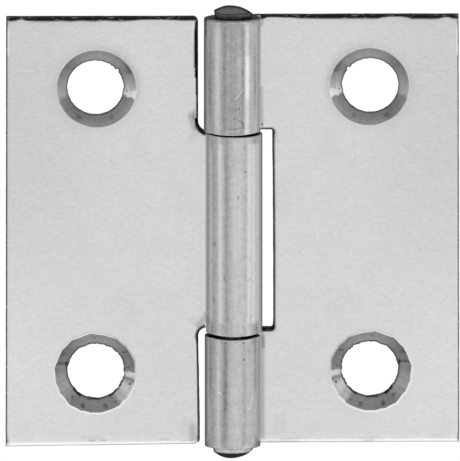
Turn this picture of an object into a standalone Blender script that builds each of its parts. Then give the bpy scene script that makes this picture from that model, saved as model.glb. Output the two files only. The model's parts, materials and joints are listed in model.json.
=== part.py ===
# Small steel butt hinge, lying open on its back, with its front and its screw heads' side up.
# X runs across the two leaves, Y along the pin and Z up; the leaves' backs are at Z = 0.
# Each leaf is one pressed sheet whose tongues are rolled into knuckles round a riveted pin.

import math

import bmesh
import bpy
from mathutils import Matrix, Vector

MM = 0.001

# Leaves
SHEET = 1.1 * MM                  # thickness of the sheet
LEAF_LENGTH = 38.0 * MM           # along the pin
LEAF_REACH = 20.0 * MM            # from the pin's axis to a leaf's outer edge
EDGE_ROLL = 0.28 * MM             # rounding that the press leaves round the front of each leaf
CORNER_RADIUS = 0.12 * MM         # of the left leaf's corners at the pin, inside the rounded edge
LEAF_OFFSET = 0.16 * MM           # how much lower the left leaf sits, from the play along the pin

# Pin
PIN_DIAMETER = 2.4 * MM
HEAD_DIAMETER = 3.4 * MM
HEAD_HEIGHT = 0.93 * MM           # how far a riveted head stands out
HEAD_RIM = 0.3 * MM               # straight rim under the dome of a head
HEAD_GAP = 0.05 * MM              # between a head and the knuckle's end

# Rolled knuckles
RUNNING_GAP = 0.08 * MM           # least gap between pin and knuckle
CURL_LEAN = 0.12 * MM             # how far a rolled knuckle's centre lies past the pin's axis
BEND_RADIUS = 0.35 * MM           # of the front face where the leaf turns up into its knuckle
SEAM_GAP = 0.34 * MM              # between the rolled end of a tongue and the back of its own bend

# Knuckles along the pin, from the upper end
UPPER_KNUCKLE = 10.13 * MM
UPPER_GAP = 0.16 * MM
MIDDLE_KNUCKLE = 17.56 * MM
LOWER_GAP = 0.28 * MM

# Cut-outs beside the knuckles
LEFT_SIDE_GAP = 0.43 * MM         # between the left leaf's edge and the outer knuckles
RIGHT_SIDE_GAP = 0.83 * MM        # between the right leaf's edge and the middle knuckle
LEFT_UPPER_FILLET = 1.25 * MM     # where the left leaf's tongue leaves its edge, above and below
LEFT_LOWER_FILLET = 0.75 * MM
RIGHT_FILLET = 0.15 * MM          # in the corners of the right leaf's cut-out
LEFT_TONGUE_STEP = 0.32 * MM      # how much the middle tongue widens downwards through its bend
RIGHT_TONGUE_STEP = 0.15 * MM     # how much the lower tongue narrows downwards through its bend

# Screw holes
HOLE_FROM_AXIS = 12.17 * MM
HOLE_SPACING = 25.24 * MM         # between the two holes of a leaf
HOLE_DIAMETER = 5.05 * MM
COUNTERSINK_DIAMETER = 7.15 * MM
COUNTERSINK_ANGLE = math.radians(90)

# Facets
CURL_STEP = math.radians(5)
BEND_STEP = math.radians(11)
HOLE_SIDES = 72
PIN_SIDES = 60
ROLL_SEGMENTS = 4
FILLET_SEGMENTS = 6
DOME_STEPS = 6

# Sizes that follow: the knuckle is rolled round the pin, and its back is level with the leaf's back
bore_radius = PIN_DIAMETER / 2 + RUNNING_GAP + CURL_LEAN
barrel_radius = bore_radius + SHEET
axis_height = barrel_radius

# The bend's front circle touches the knuckle's outer circle, this far below the knuckle's middle
centre_distance = barrel_radius + BEND_RADIUS
curl_dip = math.asin((axis_height - SHEET - BEND_RADIUS) / centre_distance)
bend_start = centre_distance * math.cos(curl_dip) - CURL_LEAN
bend_turn = math.pi / 2 + curl_dip
bend_middle = BEND_RADIUS + SHEET / 2
bend_run = bend_middle * bend_turn

# The tongue is rolled on until its end stands one seam gap from the back of the bend
end_distance = BEND_RADIUS + SHEET + SEAM_GAP
seam_angle = math.acos(
    (centre_distance ** 2 + barrel_radius ** 2 - end_distance ** 2)
    / (2 * centre_distance * barrel_radius)
)
curl_turn = 2 * math.pi - seam_angle
curl_middle = bore_radius + SHEET / 2
tongue_run = bend_run + curl_middle * curl_turn

# Places along the pin
leaf_top = LEAF_LENGTH / 2
leaf_bottom = -LEAF_LENGTH / 2
left_leaf_top = leaf_top - LEAF_OFFSET
left_leaf_bottom = leaf_bottom - LEAF_OFFSET
upper_knuckle_end = leaf_top - UPPER_KNUCKLE
middle_top = upper_knuckle_end - UPPER_GAP
middle_bottom = middle_top - MIDDLE_KNUCKLE
lower_knuckle_start = middle_bottom - LOWER_GAP


def clear_scene():
    for item in list(bpy.data.objects):
        bpy.data.objects.remove(item, do_unlink=True)


def steel(name, grey, roughness):
    material = bpy.data.materials.new(name)
    material.use_nodes = True
    shader = material.node_tree.nodes["Principled BSDF"]
    shader.inputs["Base Color"].default_value = (grey, grey, grey, 1.0)
    shader.inputs["Metallic"].default_value = 1.0
    shader.inputs["Roughness"].default_value = roughness
    return material


def add_object(name, bm, material):
    bmesh.ops.recalc_face_normals(bm, faces=bm.faces)
    mesh = bpy.data.meshes.new(name)
    bm.to_mesh(mesh)
    bm.free()
    item = bpy.data.objects.new(name, mesh)
    bpy.context.scene.collection.objects.link(item)
    if material:
        mesh.materials.append(material)
        mesh.shade_smooth()
        mesh.set_sharp_from_angle(angle=math.radians(30))
    return item


# A point of the flat blank, rolled up: "run" is how far it lies past the start of the bend,
# and "lift" how far in front of the sheet's middle. The answer is for the right-hand leaf.
def rolled_place(run, lift):
    if run <= 0:
        return bend_start - run, SHEET / 2 + lift
    if run <= bend_run:
        turn = run / bend_middle
        radius = bend_middle - lift
        height = SHEET + BEND_RADIUS - radius * math.cos(turn)
        return bend_start - radius * math.sin(turn), height
    turn = (run - bend_run) / curl_middle - curl_dip
    radius = curl_middle + lift
    return radius * math.cos(turn) - CURL_LEAN, axis_height + radius * math.sin(turn)


def roll_stations():
    bend_steps = math.ceil(bend_turn / BEND_STEP)
    curl_steps = math.ceil(curl_turn / CURL_STEP)
    stations = [bend_run * i / bend_steps for i in range(bend_steps)]
    curl_run = curl_middle * curl_turn
    return stations + [bend_run + curl_run * i / curl_steps for i in range(curl_steps)]


# Flat blank: the outline is cut from the sheet, and its front edge rounded by the press
def cut_blank(outline):
    bm = bmesh.new()
    corners = [bm.verts.new((x, y, 0.0)) for x, y, _ in outline]
    face = bm.faces.new(corners)
    face.normal_update()
    if face.normal.z < 0:
        face.normal_flip()
    for corner, (_, _, radius) in zip(corners, outline):
        if radius > 0:
            bmesh.ops.bevel(
                bm, geom=[corner], offset=radius, offset_type="OFFSET", segments=FILLET_SEGMENTS,
                profile=0.5, affect="VERTICES", material=-1,
            )
    extruded = bmesh.ops.extrude_face_region(bm, geom=bm.faces[:], use_keep_orig=True)
    top = [item for item in extruded["geom"] if isinstance(item, bmesh.types.BMVert)]
    bmesh.ops.translate(bm, verts=top, vec=(0, 0, SHEET))
    bmesh.ops.recalc_face_normals(bm, faces=bm.faces)
    rim = [edge for edge in bm.edges if all(vert.co.z > SHEET / 2 for vert in edge.verts)]
    bmesh.ops.bevel(
        bm, geom=rim, offset=EDGE_ROLL, offset_type="OFFSET", segments=ROLL_SEGMENTS,
        profile=0.5, affect="EDGES", material=-1,
    )
    return bm


def roll_tongues(bm, side):
    for run in roll_stations():
        bmesh.ops.bisect_plane(
            bm, geom=bm.verts[:] + bm.edges[:] + bm.faces[:], dist=1e-7,
            plane_co=(bend_start - run, 0, 0), plane_no=(1, 0, 0),
        )
    for vert in bm.verts:
        x, z = rolled_place(bend_start - vert.co.x, vert.co.z - SHEET / 2)
        vert.co.x = side * x
        vert.co.z = z


# Outline of the leaf that carries the two outer knuckles, drawn flat with its tongues towards -X,
# as corners with their fillets
def right_outline():
    inner = max(barrel_radius + CURL_LEAN + RIGHT_SIDE_GAP, bend_start)
    tip = bend_start - tongue_run
    return [
        (LEAF_REACH, leaf_bottom, 0),
        (LEAF_REACH, leaf_top, 0),
        (tip, leaf_top, 0),
        (tip, upper_knuckle_end, 0),
        (inner, upper_knuckle_end, RIGHT_FILLET),
        (inner, lower_knuckle_start + RIGHT_TONGUE_STEP, RIGHT_FILLET),
        (bend_start, lower_knuckle_start + RIGHT_TONGUE_STEP, 0),
        (bend_start - bend_run, lower_knuckle_start, 0),
        (tip, lower_knuckle_start, 0),
        (tip, leaf_bottom, 0),
    ]


# Outline of the leaf that carries the middle knuckle, drawn the same way and mirrored later
def left_outline():
    inner = max(barrel_radius + CURL_LEAN + LEFT_SIDE_GAP, bend_start)
    tip = bend_start - tongue_run
    corner = EDGE_ROLL + CORNER_RADIUS
    return [
        (LEAF_REACH, left_leaf_bottom, 0),
        (LEAF_REACH, left_leaf_top, 0),
        (inner, left_leaf_top, corner),
        (inner, middle_top, LEFT_UPPER_FILLET),
        (tip, middle_top, 0),
        (tip, middle_bottom, 0),
        (bend_start - bend_run, middle_bottom, 0),
        (inner - LEFT_LOWER_FILLET, middle_bottom + LEFT_TONGUE_STEP, 0),
        (inner, middle_bottom + LEFT_TONGUE_STEP, LEFT_LOWER_FILLET),
        (inner, left_leaf_bottom, corner),
    ]


# Turned shape round Z from its half profile, given as radius and height from bottom to top
def turned(profile, sides):
    bm = bmesh.new()
    verts = [bm.verts.new((radius, 0, height)) for radius, height in profile]
    edges = [bm.edges.new(pair) for pair in zip(verts, verts[1:])]
    bmesh.ops.spin(
        bm, geom=verts + edges, cent=(0, 0, 0), axis=(0, 0, 1), angle=2 * math.pi,
        steps=sides, use_merge=True,
    )
    bmesh.ops.remove_doubles(bm, verts=bm.verts, dist=1e-6)
    bmesh.ops.recalc_face_normals(bm, faces=bm.faces)
    return bm


def screw_hole_cutter(name, x, y):
    slope = math.tan(COUNTERSINK_ANGLE / 2)
    hole = HOLE_DIAMETER / 2
    wide = COUNTERSINK_DIAMETER / 2
    cone_bottom = SHEET - (wide - hole) / slope
    floor = min(0, cone_bottom) - SHEET
    bm = turned(
        [(0, floor), (hole, floor), (hole, cone_bottom), (wide + SHEET * slope, 2 * SHEET), (0, 2 * SHEET)],
        HOLE_SIDES,
    )
    cutter = add_object(name, bm, None)
    cutter.location = (x, y, 0)
    cutter.hide_render = True
    cutter.display_type = "WIRE"
    return cutter


def leaf(name, side, outline, middle, material):
    bm = cut_blank(outline)
    roll_tongues(bm, side)
    item = add_object(name, bm, material)
    for place, up in (("upper", 1), ("lower", -1)):
        height = middle + up * HOLE_SPACING / 2
        cutter = screw_hole_cutter(f"{name}_{place}_hole", side * HOLE_FROM_AXIS, height)
        cut = item.modifiers.new(f"{place}_hole", "BOOLEAN")
        cut.operation = "DIFFERENCE"
        cut.solver = "EXACT"
        cut.object = cutter
    return item


# Half profile of the pin: a straight shank with a low dome riveted over at each end
def pin_profile():
    shank = PIN_DIAMETER / 2
    head = HEAD_DIAMETER / 2
    seat = leaf_top + HEAD_GAP
    rise = HEAD_HEIGHT - HEAD_RIM
    dome_radius = (head ** 2 + rise ** 2) / (2 * rise)
    reach = math.asin(head / dome_radius)
    dome_centre = seat + HEAD_HEIGHT - dome_radius
    upper = [(shank, seat), (head, seat)]
    for i in range(DOME_STEPS + 1):
        angle = reach * (1 - i / DOME_STEPS)
        upper.append((dome_radius * math.sin(angle), dome_centre + dome_radius * math.cos(angle)))
    upper[-1] = (0, seat + HEAD_HEIGHT)
    lower = [(radius, -height) for radius, height in reversed(upper)]
    return lower + upper


def hinge_pin(material):
    bm = turned(pin_profile(), PIN_SIDES)
    bmesh.ops.rotate(bm, verts=bm.verts, cent=(0, 0, 0), matrix=Matrix.Rotation(math.radians(-90), 3, "X"))
    item = add_object("hinge_pin", bm, material)
    item.location = (0, 0, axis_height)
    return item


# The leaves turn about the pin, so each leaf's origin lies on the pin's axis
def put_origin_on_axis(item):
    place = Vector((0, 0, axis_height))
    item.data.transform(Matrix.Translation(-place))
    item.location = place


clear_scene()
sheet_steel = steel("zinc_plated_sheet", 0.62, 0.38)
pin_steel = steel("zinc_plated_pin", 0.5, 0.35)
right_leaf = leaf("right_leaf", 1, right_outline(), 0, sheet_steel)
left_leaf = leaf("left_leaf", -1, left_outline(), -LEAF_OFFSET, sheet_steel)
put_origin_on_axis(right_leaf)
put_origin_on_axis(left_leaf)
hinge_pin(pin_steel)
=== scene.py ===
# Looks of a small steel butt hinge that lies open on its back, seen from the front.
# The two leaves are pressed flat, holes and all, and then rolled round the riveted pin.
# The frame is in metres; the sizes below are in millimetres, times mm.

import json
import math

import bmesh
import bpy
from mathutils import Matrix, Vector, noise


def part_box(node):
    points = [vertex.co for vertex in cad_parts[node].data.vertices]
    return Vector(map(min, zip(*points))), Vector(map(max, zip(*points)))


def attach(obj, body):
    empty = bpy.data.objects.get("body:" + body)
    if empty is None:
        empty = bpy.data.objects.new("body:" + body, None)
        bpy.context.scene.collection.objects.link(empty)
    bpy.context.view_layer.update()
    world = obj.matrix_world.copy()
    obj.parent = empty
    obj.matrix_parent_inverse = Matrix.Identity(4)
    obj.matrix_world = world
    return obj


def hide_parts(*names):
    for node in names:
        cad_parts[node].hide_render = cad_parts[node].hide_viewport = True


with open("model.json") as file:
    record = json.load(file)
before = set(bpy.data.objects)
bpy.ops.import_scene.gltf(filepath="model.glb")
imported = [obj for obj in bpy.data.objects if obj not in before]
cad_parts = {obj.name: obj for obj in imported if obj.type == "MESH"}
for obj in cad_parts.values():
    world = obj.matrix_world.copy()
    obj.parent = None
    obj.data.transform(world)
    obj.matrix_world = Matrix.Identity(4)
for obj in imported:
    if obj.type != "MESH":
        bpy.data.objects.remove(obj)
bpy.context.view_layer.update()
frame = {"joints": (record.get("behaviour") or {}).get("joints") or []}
mm = 0.001
print("frame loaded")

# What the frame gives: the pin's axis, the leaves' reach and the ends of both leaves
axisHeight = frame["joints"][0]["pos_m"][2]
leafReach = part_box("right_leaf")[1].x
rightEnds = (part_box("right_leaf")[0].y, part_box("right_leaf")[1].y)
leftEnds = (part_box("left_leaf")[0].y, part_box("left_leaf")[1].y)
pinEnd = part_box("hinge_pin")[1].y
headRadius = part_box("hinge_pin")[1].x

# The sheet and the way it is rolled
sheet = {
    "thickness": 1.1 * mm,
    "bendRadius": 0.35 * mm,
    "curlLean": 0.12 * mm,        # how far a knuckle's centre lies past the pin's axis
    "seamGap": 0.34 * mm,
    "bendStep": math.radians(5),
    "curlStep": math.radians(2.5),
    "gridStep": 0.5 * mm,         # of the fine squares on the flat leaf
    "sharpAngle": 38,             # in degrees, over which an edge is shaded sharp
}

# The rounding that the press leaves round the front of the blank. Along some edges it is only a share
# of the common width and depth, and the change from one share to the next takes the blend length.
pressedEdge = {
    "width": 0.46 * mm,
    "depth": 0.24 * mm,
    "steps": 7,
    "outerShare": 0.5,
    "outerBlend": 1.0 * mm,
    "slitShare": 0.62,
    "slitTopShare": 1.0,          # by the upper end of the left leaf's slit
    "slitTopEnd": 13.8 * mm,
    "slitTopBlend": 1.2 * mm,
    "notchShare": 0.75,
    "innerBlend": 0.5 * mm,       # at the ends of the slit's and the notch's sides
    "knuckleShare": 0.2,          # at the knuckles' ends
    "barrelTopShare": 0.42,
    "barrelBottomShare": 0.3,
    "knuckleBlend": 0.9 * mm,
    "knuckleRoot": 0.78 * mm,     # how far past the start of the bend the tight edge starts
}

# Wear of the pressed edge: waves in its height and outline, and painted shade by the way it faces, which
# makes it dark and also dull, and a painted highlight on the lower edge. A point's lean is the level
# part of its normal, from 0 on the flat to 1 on a wall.
edgeWear = {
    "seed": 3,
    "flatLean": 0.02,             # under this the sheet isn't worn
    "waviness": 0.05 * mm,
    "wavinessShift": 0.3,
    "outlineWave": 0.022 * mm,
    "outlineShift": -0.6,
    "waveLength": 0.9 * mm,
    "finerWaves": 3.1,            # to each wave
    "finerHeight": 0.5,
    "soilInner": 1.0,             # how dull and dark the painted shade makes the edge, by the way it faces
    "soilOuter": 0.85,
    "soilTop": 1.0,
    "soilBottom": 0.0,
    "soilNotch": 1.0,
    "soilKnuckle": 0.15,
    "knuckleStart": 0.2 * mm,     # past the start of the bend
    "startLean": 0.12,            # where the painted shade starts, and over how much lean it spreads
    "startLeanTop": -0.06,        # added to it towards the upper edge
    "spread": 0.5,
    "spreadTop": -0.34,
    "spreadOuter": -0.2,
    "lowerShine": 1.1,            # how bright the painted highlight on the lower edge is
    "shineLean": 0.08,
    "shineSpread": 0.25,
}

# How wide the rounding is along the upper edge, as (place across the open hinge in mm, share): it was
# trimmed unevenly, and runs out near both outer corners and beside the barrel
upperEdgeShares = [
    (-20.0, 1.04), (-19.3, 1.04), (-18.8, 0.5), (-18.4, 0.52), (-18.0, 0.95), (-16.1, 1.04),
    (-15.2, 0.9), (-14.2, 1.06), (-13.4, 0.88), (-12.2, 1.05), (-11.4, 0.84), (-10.0, 1.04),
    (-8.9, 0.9), (-8.2, 0.68), (-6.8, 0.64), (-5.4, 0.72), (-4.4, 0.9), (-3.3, 0.85), (0.0, 0.6),
    (2.5, 0.5), (3.6, 0.52), (5.1, 0.62), (6.0, 0.85), (8.6, 0.94), (10.4, 0.9), (12.6, 0.94),
    (13.5, 0.46), (15.0, 0.42), (15.5, 1.0), (18.0, 1.04), (18.4, 0.6), (19.2, 0.62), (19.5, 1.0),
    (20.0, 1.04),
]

# Cut-outs round the knuckles: where each knuckle ends along the pin, and the gaps, fillets and steps
cutOuts = {
    "upperKnuckleEnd": 8.83 * mm,
    "middleTop": 8.685 * mm,
    "middleBottom": -9.00 * mm,
    "lowerKnuckleStart": -9.24 * mm,
    "leftGap": 0.43 * mm,
    "rightGap": 0.83 * mm,
    "leftUpperFillet": 0.85 * mm,
    "leftLowerFillet": 0.75 * mm,
    "leftFilletRun": 1.1,         # radii of that fillet before the tongue starts to widen
    "rightFillet": 0.15 * mm,
    "leftStep": 0.25 * mm,
    "rightStep": 0.50 * mm,
    "leftCorner": 0.48 * mm,
    "filletSegments": 9,
}

# How far the leaves' outer and lower edges run beside the straight blank, in millimetres: "top",
# "bottom", "outer" and "inner" name the ends of the edge. The inner edges slant as well, by (place along
# the pin, how far outwards).
leafTrim = {
    "outerStart": 2.3 * mm,       # the part of the leaf beside the edge that goes along with it
    "lowerStart": 1.3 * mm,
    "lowerFade": 0.125,           # share of the leaf's width over which it runs out at the bend
    "slantOutside": 1.2 * mm,
    "slantInside": 0.45 * mm,
    "right": {
        "outerTop": -0.185, "outerBottom": -0.05, "lowerOuter": 0.03, "lowerInner": -0.01,
        "slant": ((8.4, 0), (2.5, 0.06), (-2, 0.09), (-8.4, 0.09), (-8.9, 0)),
    },
    "left": {
        "outerTop": -0.085, "outerBottom": 0.035, "lowerOuter": -0.16, "lowerInner": 0.05,
        "slant": ((-9.4, 0), (-13.4, -0.08), (-17, -0.14), (-19, -0.15)),
    },
}

# How far each knuckle lies towards its own leaf
knuckleShift = {"upper": 0.045 * mm, "middle": 0.055 * mm, "lower": 0.11 * mm}

# The knuckles' ends at both joints bow upwards from the crown to the sides, and the middle knuckle's
# upper end stands a little higher on its own side, so the upper joint is narrower there
knuckleBow = {
    "upper": 0.08 * mm,
    "lower": 0.12 * mm,
    "fullAngle": math.radians(50),
    "rootAngle": math.radians(75),
    "rootBlend": math.radians(40),
    "reach": 2.0 * mm,            # from the joint along the knuckle
    "raise": 0.04 * mm,
    "raiseStart": -1.2 * mm,      # from the crown, towards the knuckle's own leaf
    "raiseBlend": 1.0 * mm,
}

screwHole = {
    "fromAxis": 12.17 * mm,
    "spacing": 25.24 * mm,
    "bore": 5.05 * mm,
    "rim": 7.15 * mm,             # where the countersink meets the front
    "lip": 0.06 * mm,             # what is left of the bore under the countersink
    "square": 10.0 * mm,          # of the patch round a hole that has its own fine rings
    "coneRings": 8,
    "flatRings": (1.0 * mm, 0.5 * mm),
    "burrWidth": 0.14 * mm,       # of the burr round the countersink, which gets a painted highlight
    # Its rings: distance from the rim in widths, share of its height, and brightness of the painted
    # highlight
    "burrRings": ((2, 0, 0), (1, 0, 0.2), (0.6, 1, 1), (0.2, 1, 1), (0, 0, 0.2)),
    "trueFrom": 0.9 * mm,         # outside the rim, from where the rings are true circles
    "trueBlend": 0.8 * mm,
    "wobble": 0.5,                # how unevenly the flats lie round the hole
    "wobbleWaves": 1.6,
    "raggedWaves": 4,
    "nickWidth": 0.05,            # in radians
    "chipWaves": 11,
    "chipLeast": 0.25,            # share of the chips away from the shaded side
    # Painted shade on the flat round the rim: its share away from the shaded side, where it starts
    # outside the rim, and its blend
    "smearLeast": 0.35,
    "smearFrom": 0.75 * mm,       # outside the rim
    "smearBlend": 0.6 * mm,
}

barrelRadius = axisHeight
boreRadius = barrelRadius - sheet["thickness"]
centreDistance = barrelRadius + sheet["bendRadius"]
curlDip = math.asin((axisHeight - sheet["thickness"] - sheet["bendRadius"]) / centreDistance)
bendStart = centreDistance * math.cos(curlDip) - sheet["curlLean"]
bendMiddle = sheet["bendRadius"] + sheet["thickness"] / 2
bendTurn = math.pi / 2 + curlDip
bendRun = bendMiddle * bendTurn
endDistance = sheet["bendRadius"] + sheet["thickness"] + sheet["seamGap"]
seamAngle = math.acos(
    (centreDistance ** 2 + barrelRadius ** 2 - endDistance ** 2) / (2 * centreDistance * barrelRadius)
)
curlTurn = 2 * math.pi - seamAngle
curlMiddle = boreRadius + sheet["thickness"] / 2
tongueRun = bendRun + curlMiddle * curlTurn
tongueTip = bendStart - tongueRun
knuckleCrown = bendStart - bendRun - curlMiddle * (curlDip + math.pi / 2)
rightInner = barrelRadius + sheet["curlLean"] + cutOuts["rightGap"]
leftInner = barrelRadius + sheet["curlLean"] + cutOuts["leftGap"]
cutTolerance = 1e-7
mergeDistance = 1e-6


def limit(share):
    return min(1, max(0, share))


def ease(share):
    share = limit(share)
    return share * share * (3 - 2 * share)


def mix(first, second, share):
    return first + (second - first) * share


# Node trees

def addNode(tree, kind, **settings):
    node = tree.nodes.new(kind)
    for key, value in settings.items():
        setattr(node, key, value)
    return node


def plug(tree, socket, value):
    if isinstance(value, bpy.types.NodeSocket):
        tree.links.new(value, socket)
    else:
        socket.default_value = value


def calc(tree, operation, *values):
    node = addNode(tree, "ShaderNodeMath", operation=operation)
    for socket, value in zip(node.inputs, values):
        plug(tree, socket, value)
    return node.outputs[0]


def vectorCalc(tree, operation, *values):
    node = addNode(tree, "ShaderNodeVectorMath", operation=operation)
    for socket, value in zip(node.inputs, values):
        plug(tree, socket, value)
    return node.outputs["Value"] if operation in ("DOT_PRODUCT", "LENGTH") else node.outputs["Vector"]


def remap(tree, value, fromLow, fromHigh, toLow, toHigh, kind="SMOOTHSTEP"):
    node = addNode(tree, "ShaderNodeMapRange", interpolation_type=kind)
    ends = (("From Min", fromLow), ("From Max", fromHigh), ("To Min", toLow), ("To Max", toHigh))
    for name, number in (*ends, ("Value", value)):
        plug(tree, node.inputs[name], number)
    return node.outputs["Result"]


def blend(tree, share, first, second):
    node = addNode(tree, "ShaderNodeMix", data_type="FLOAT")
    for name, value in (("Factor", share), ("A", first), ("B", second)):
        plug(tree, node.inputs[name], value)
    return node.outputs[0]


# A noise texture's value, with the pattern moved by the offset so that no two textures agree
def grain(tree, place, scale, detail, roughness, offset=0.0):
    node = addNode(tree, "ShaderNodeTexNoise")
    mapping = addNode(tree, "ShaderNodeMapping")
    mapping.inputs["Scale"].default_value = scale
    mapping.inputs["Location"].default_value = (offset, offset * 1.7, offset * 0.6)
    plug(tree, mapping.inputs["Vector"], place)
    plug(tree, node.inputs["Vector"], mapping.outputs["Vector"])
    for name, value in (("Scale", 1.0), ("Detail", detail), ("Roughness", roughness)):
        node.inputs[name].default_value = value
    return node.outputs["Fac"]


def makeGrains(tree, place, grains):
    return {name: grain(tree, place, *values) for name, values in grains.items()}


# Adds what a texture lies above or below its middle, times an amount
def addGrain(tree, tone, texture, amount):
    return calc(tree, "MULTIPLY_ADD", calc(tree, "SUBTRACT", texture, 0.5), amount, tone)


def attribute(tree, name, output="Fac"):
    return addNode(tree, "ShaderNodeAttribute", attribute_name=name).outputs[output]


def splitPlace(tree, place):
    node = addNode(tree, "ShaderNodeSeparateXYZ")
    plug(tree, node.inputs[0], place)
    return node.outputs


def newMaterial(name):
    material = bpy.data.materials.new(name)
    material.use_nodes = True
    tree = material.node_tree
    shader = tree.nodes["Principled BSDF"]
    shader.inputs["Metallic"].default_value = 1.0
    return material, tree, shader


def greyColour(tree, value):
    node = addNode(tree, "ShaderNodeCombineColor")
    for socket in node.inputs:
        plug(tree, socket, value)
    return node.outputs[0]


# Brightness by place: the stops are (place, brightness up to 2)
def greyRamp(tree, value, lowest, highest, stops, kind="EASE"):
    ramp = addNode(tree, "ShaderNodeValToRGB")
    plug(tree, ramp.inputs["Fac"], remap(tree, value, lowest, highest, 0.0, 1.0, "LINEAR"))
    elements = ramp.color_ramp.elements
    ramp.color_ramp.interpolation = kind
    for place, bright in stops:
        share = (place - lowest) / (highest - lowest)
        element = elements[0] if share == 0 else elements[-1] if share == 1 else elements.new(share)
        element.color = (bright / 2, bright / 2, bright / 2, 1)
    return calc(tree, "MULTIPLY", ramp.outputs["Color"], 2.0)


def bump(tree, height, distance, strength=1.0):
    node = addNode(tree, "ShaderNodeBump")
    node.inputs["Distance"].default_value = distance
    node.inputs["Strength"].default_value = strength
    plug(tree, node.inputs["Height"], height)
    return node.outputs["Normal"]


# One mark on the steel: a soft-ended line from start to end, as a share of 1 in its middle
def markTool():
    tree = bpy.data.node_groups.new("steel_mark", "ShaderNodeTree")
    tree.interface.new_socket(name="Mark", in_out="OUTPUT", socket_type="NodeSocketFloat")
    for name in ("Place", "Start", "End"):
        tree.interface.new_socket(name=name, in_out="INPUT", socket_type="NodeSocketVector")
    for name in ("Width", "Softness"):
        tree.interface.new_socket(name=name, in_out="INPUT", socket_type="NodeSocketFloat")
    given = addNode(tree, "NodeGroupInput").outputs
    result = addNode(tree, "NodeGroupOutput").inputs
    fromStart = vectorCalc(tree, "SUBTRACT", given["Place"], given["Start"])
    line = vectorCalc(tree, "SUBTRACT", given["End"], given["Start"])
    lengthSquare = calc(tree, "ADD", vectorCalc(tree, "DOT_PRODUCT", line, line), 1e-9)
    share = calc(tree, "DIVIDE", vectorCalc(tree, "DOT_PRODUCT", fromStart, line), lengthSquare)
    share = calc(tree, "MINIMUM", calc(tree, "MAXIMUM", share, 0.0), 1.0)
    onLine = addNode(tree, "ShaderNodeVectorMath", operation="SCALE")
    plug(tree, onLine.inputs[0], line)
    plug(tree, onLine.inputs["Scale"], share)
    away = vectorCalc(tree, "LENGTH", vectorCalc(tree, "SUBTRACT", fromStart, onLine.outputs[0]))
    outer = calc(tree, "ADD", given["Width"], given["Softness"])
    plug(tree, result["Mark"], remap(tree, away, given["Width"], outer, 1.0, 0.0))
    return tree


# Adds up marks given as (start, end, width, softness, strength), in millimetres
def drawMarks(tree, place, marks, group):
    total = 0.0
    for start, end, width, softness, strength in marks:
        node = addNode(tree, "ShaderNodeGroup", node_tree=group)
        plug(tree, node.inputs["Place"], place)
        node.inputs["Start"].default_value = (*start, 0)
        node.inputs["End"].default_value = (*end, 0)
        node.inputs["Width"].default_value = width
        node.inputs["Softness"].default_value = softness
        total = calc(tree, "MULTIPLY_ADD", node.outputs["Mark"], strength, total)
    return total


def flatPlace(tree, place, scale=1.0):
    node = addNode(tree, "ShaderNodeVectorMath", operation="MULTIPLY")
    plug(tree, node.inputs[0], place)
    node.inputs[1].default_value = (scale, scale, 0)
    return node.outputs[0]


# Zinc on pressed sheet: satin and finely mottled on the leaf, duller and streaked on the knuckles, with
# painted shade and painted highlights laid over it. "sheetPlace" is a point's place on the flat blank in
# millimetres, so the finish follows the roll.
plateFinish = {
    "leafGrey": 0.68,
    "cloud": 0.05,
    "mottle": 0.12,
    "fibre": 0.22,
    "outerFade": -0.07,           # painted shade over the outer part of a leaf's upper half, turning to painted light in its lower half
    "fadeAcross": (9.0, 18.0),    # in millimetres from the pin's axis
    "fadeAlong": (-13.0, 8.0),    # from the lower to the upper half, with its shares there
    "fadeShares": (-0.65, 1.0),
    "leafRoughness": (0.22, 0.26),
    "rollBlend": 1.3,             # from the leaf's finish to the knuckle's, in millimetres
    "barrelGrey": 0.50,
    "streak": 0.25,
    "speckle": 0.85,
    "barrelRoughness": (0.2, 0.3),
    # The strength of the painted shine, and the grey and roughness of the edges' painted shade
    "burrShine": 0.19,
    "soilGrey": 0.035,
    "soilRoughness": 0.6,
    "tears": (0.56, 0.66),        # the texture's values between which the painted edge shade thins out
    "tornSoil": 0.3,
    "flankLeft": 0.3,             # share of the barrel's grey that is left on its free lower flank, as painted shade
    "flankRight": 0.78,
    "bendGrey": 0.9,              # and on the one beside its own leaf
    "flankMiddle": 0.1 * mm,      # to both sides of the pin's axis
    "crownBlend": 0.3,            # to both sides of the crown, in millimetres
    "flankTop": 1.2 * mm,         # above the pin's axis
    "flankBottom": 0.65 * mm,
    "relief": 0.004 * mm,
}

# Its textures, as (scale, detail, roughness, offset)
plateGrains = {
    "cloud": ((0.28, 0.34, 0.34), 3.0, 0.55, 0.0),
    "mottle": ((1.5, 1.9, 1.9), 3.0, 0.6, 7.0),
    "fibre": ((2.6, 5.0, 4.0), 2.0, 0.6, 5.0),
    "streaks": ((1.6, 0.14, 1.6), 3.0, 0.55, 3.0),
    "thinStreaks": ((5.0, 0.6, 5.0), 3.0, 0.6, 11.0),
    "speckle": ((2.8, 2.0, 2.8), 4.0, 0.8, 13.0),
    "tears": ((1.3, 5.0, 2.0), 3.0, 0.8, 17.0),
}
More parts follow.
